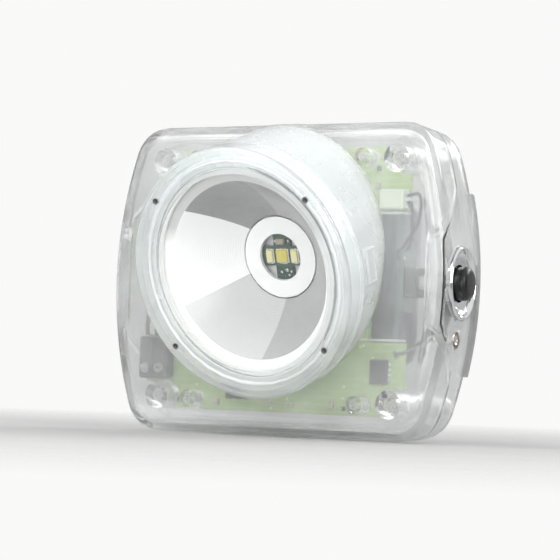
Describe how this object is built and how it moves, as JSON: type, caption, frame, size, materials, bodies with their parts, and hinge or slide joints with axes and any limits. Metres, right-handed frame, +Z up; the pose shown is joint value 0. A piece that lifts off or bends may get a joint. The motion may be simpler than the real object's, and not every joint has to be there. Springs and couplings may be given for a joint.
{
  "type": "miner's cap lamp",
  "caption": "Cordless miner's cap lamp: clear two-part case, pitched lens barrel, reflector, LEDs, lithium cell, side push button and steel helmet clip.",
  "frame": {"origin": "on the rear face of the helmet clip's blade, at the case's mid width and mid height", "axes": "+Z up, the lamp shines towards -Y (its barrel pitched 17 degrees down), the push button is on the +X side"},
  "size_m": [0.0832, 0.0483, 0.064],
  "materials": {
    "clear_shell": "clear polycarbonate, polished",
    "window": "clear hardened window",
    "gasket_grey": "soft grey silicone",
    "gasket_white": "soft white silicone",
    "reflector": "metallised moulded bowl with a bright finish",
    "white_disc": "white moulded disc",
    "dark_board": "dark green solder mask on laminate",
    "green_board": "light green solder mask on laminate",
    "phosphor_main": "yellow phosphor",
    "phosphor_side": "pale yellow phosphor",
    "ceramic_tan": "ceramic chip capacitor",
    "heat_sink": "turned aluminium",
    "chip_black": "black moulded epoxy",
    "connector_cream": "cream nylon",
    "terminal_grey": "dark grey moulded plastic",
    "ferrite": "dark ferrite",
    "capacitor_can": "aluminium can",
    "cell": "grey sleeve over a metal-cased lithium cell",
    "foam": "white adhesive foam",
    "lead_grey": "dark grey insulated lead",
    "lead_black": "black insulated lead",
    "button_black": "black moulded rubber",
    "collar": "bright plated collar",
    "steel": "stainless steel",
    "brass": "worn brass contact",
    "switch_grey": "grey moulded plunger"
  },
  "bodies": {
    "case": {"battery_cell": "cell", "battery_lead_minus": "lead_black", "battery_lead_plus": "lead_grey", "bezel_ring": "clear_shell", "bezel_seal": "gasket_white", "board_screw_lower_left": "steel", "board_screw_lower_right": "steel", "board_screw_upper_left": "steel", "board_screw_upper_right": "steel", "button_collar": "collar", "cell_pad": "foam", "charge_chip": "chip_black", "charge_contact": "brass", "clip_screw_left": "steel", "clip_screw_middle": "steel", "clip_screw_right": "steel", "collar_nut": "steel", "contact_lead": "lead_grey", "control_board": "green_board", "cover_screw_lower_left": "steel", "cover_screw_lower_right": "steel", "cover_screw_upper_left": "steel", "cover_screw_upper_right": "steel", "driver_chip": "chip_black", "front_housing": "clear_shell", "front_lens": "window", "guard_board": "green_board", "heat_sink": "heat_sink", "helmet_clip": "steel", "housing_gasket": "gasket_grey", "led_board": "dark_board", "led_capacitor": "ceramic_tan", "led_centring_ring": "white_disc", "led_lead_minus": "lead_black", "led_lead_plus": "lead_grey", "lens_gasket": "gasket_white", "main_led": "phosphor_main", "power_coil": "ferrite", "rear_cover": "clear_shell", "reflector": "reflector", "side_led_left": "phosphor_side", "side_led_right": "phosphor_side", "smoothing_capacitor": "capacitor_can", "switch_board": "dark_board", "switch_body": "chip_black", "switch_connector": "connector_cream", "switch_lead_lower": "lead_black", "switch_lead_upper": "lead_black", "terminal_block": "terminal_grey"},
    "button": {"push_button": "button_black", "button_seal": "button_black"},
    "plunger": {"switch_plunger": "switch_grey"}
  },
  "joints": [
    {"name": "button_press", "type": "slide", "parent": "case", "child": "button", "axis": [-0.9848, -0.1736, 0], "range_m": [0, 0.001], "stiffness_N_per_m": 1500, "springref_m": -0.0005},
    {"name": "switch_press", "type": "slide", "parent": "case", "child": "plunger", "axis": [-0.9848, -0.1736, 0], "range_m": [0, 0.001]}
  ],
  "couplings": [
    {"joint": "switch_press", "follows": "button_press", "ratio": 1}
  ]
}
